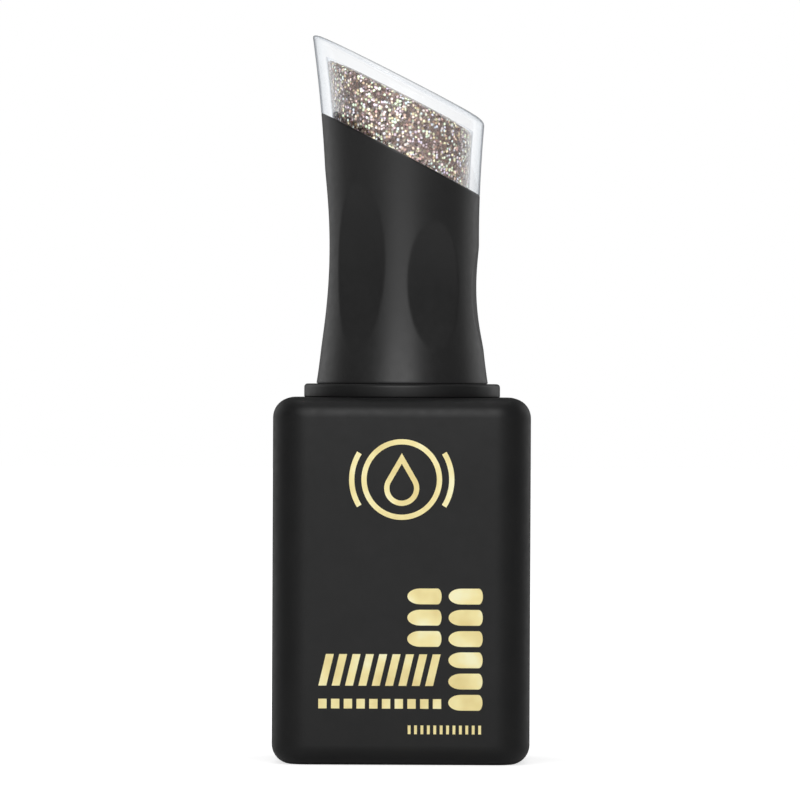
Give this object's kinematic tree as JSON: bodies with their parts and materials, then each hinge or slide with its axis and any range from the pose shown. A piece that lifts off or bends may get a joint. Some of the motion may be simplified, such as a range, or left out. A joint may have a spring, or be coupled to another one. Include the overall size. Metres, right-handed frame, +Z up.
{
  "type": "nail polish bottle",
  "caption": "Square bottle of gel nail polish with a waisted, slant-topped screw cap that carries the brush.",
  "frame": {"origin": "centre of the base, on the surface the bottle stands on", "axes": "+Z up along the neck and brush, -Y is the decorated front face, the tip's high side points to -X"},
  "size_m": [0.0296, 0.0296, 0.084],
  "materials": {
    "lacquered_glass": "satin black lacquer",
    "polish": "glossy liquid with glitter",
    "label": "matte film",
    "gold_foil": "polished foil",
    "liner": "soft foam",
    "cap_black": "soft-touch matte",
    "inner_black": "satin moulded",
    "clear_acrylic": "polished clear",
    "glitter": "holographic glitter",
    "stem_plastic": "satin moulded",
    "staple_metal": "bright wire",
    "nylon": "satin filament"
  },
  "bodies": {
    "bottle": {"glass_bottle": "lacquered_glass", "gel_polish": "polish", "shade_label": "label", "foil_print": "gold_foil"},
    "seal": {"sealing_washer": "liner"},
    "ring": {"base_ring": "cap_black"},
    "cap": {"inner_cap": "inner_black", "outer_cap": "cap_black", "clear_tip": "clear_acrylic", "glitter_insert": "glitter", "brush_stem": "stem_plastic", "bristle_staple": "staple_metal", "bristles": "nylon"}
  },
  "joints": [
    {"name": "cap_lift", "type": "slide", "parent": "bottle", "child": "seal", "axis": [0, 0, 1], "range_m": [0, 0.072]},
    {"name": "cap_rise", "type": "slide", "parent": "seal", "child": "ring", "axis": [0, 0, 1], "range_m": [0, 0.0048]},
    {"name": "cap_turn", "type": "hinge", "parent": "ring", "child": "cap", "pos_m": [0, 0, 0.0434], "axis": [0, 0, 1], "range_deg": [0, 810]}
  ],
  "couplings": [
    {"joint": "cap_rise", "follows": "cap_turn", "m_per_rad": 0.00033693}
  ]
}
